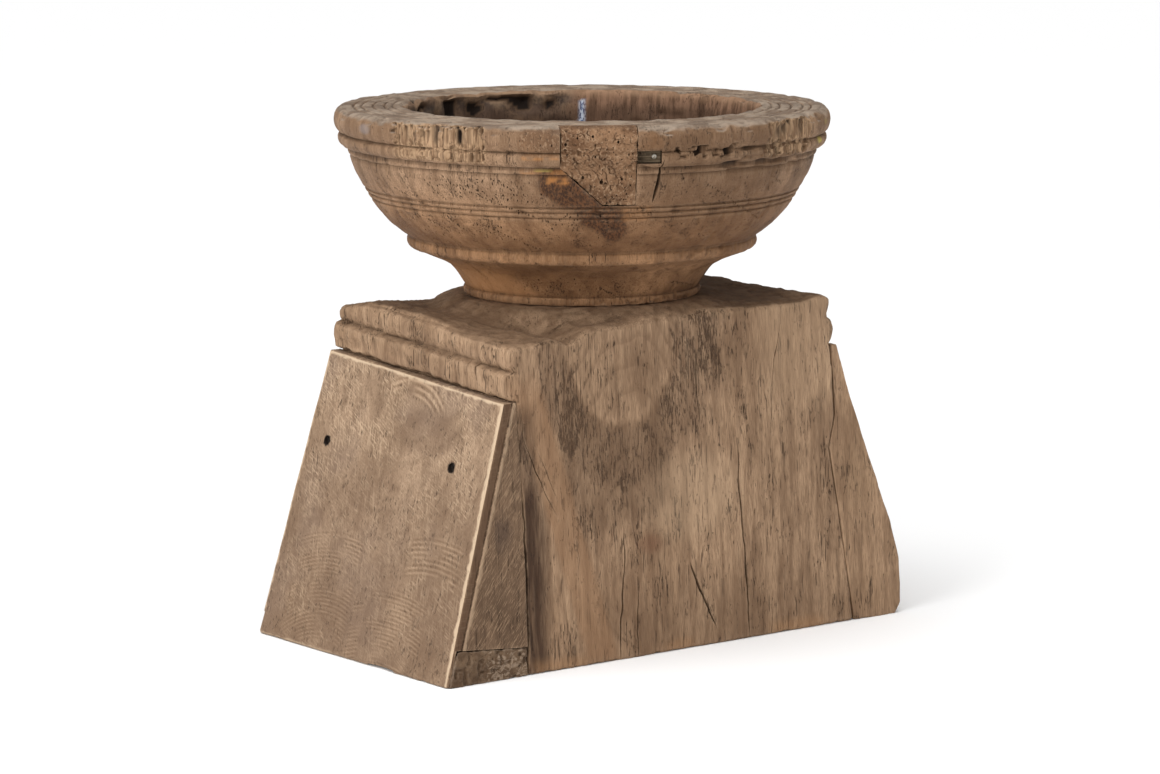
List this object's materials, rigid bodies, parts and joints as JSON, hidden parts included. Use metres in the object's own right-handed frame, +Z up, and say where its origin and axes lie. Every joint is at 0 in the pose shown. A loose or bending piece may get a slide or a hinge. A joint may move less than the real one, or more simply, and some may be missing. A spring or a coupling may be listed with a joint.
{
  "type": "pedestal bowl",
  "caption": "Turned, weathered hardwood bowl on a short neck, standing on a heavy block base with splayed wedge sides.",
  "frame": {"origin": "on the floor, on the bowl's axis, under the middle of the base", "axes": "+Z up, +X along the base's long side towards the older wedge, -Y out of the front face"},
  "size_m": [0.5306, 0.453, 0.482],
  "materials": {
    "turned_wood": "weathered, turned, dry",
    "block_wood": "weathered, upright grain, dry",
    "sawn_wood": "circular-sawn, rubbed at the edges",
    "patch_wood": "worm-eaten, unpolished",
    "key_wood": "grey, weathered",
    "peg_wood": "plain",
    "filler_paste": "hardened wood filler, rough",
    "old_steel": "dull, aged"
  },
  "bodies": {
    "root": {"bowl": "turned_wood", "block": "block_wood", "wedge_left": "sawn_wood", "facing_board": "sawn_wood", "wedge_right": "block_wood", "wedge_screw_rear": "old_steel", "wedge_screw_front": "old_steel", "wedge_dowel_rear": "peg_wood", "wedge_dowel_front": "peg_wood", "corner_filler": "filler_paste", "rim_patch": "patch_wood", "rim_key": "key_wood", "rim_nail": "old_steel"}
  },
  "joints": []
}
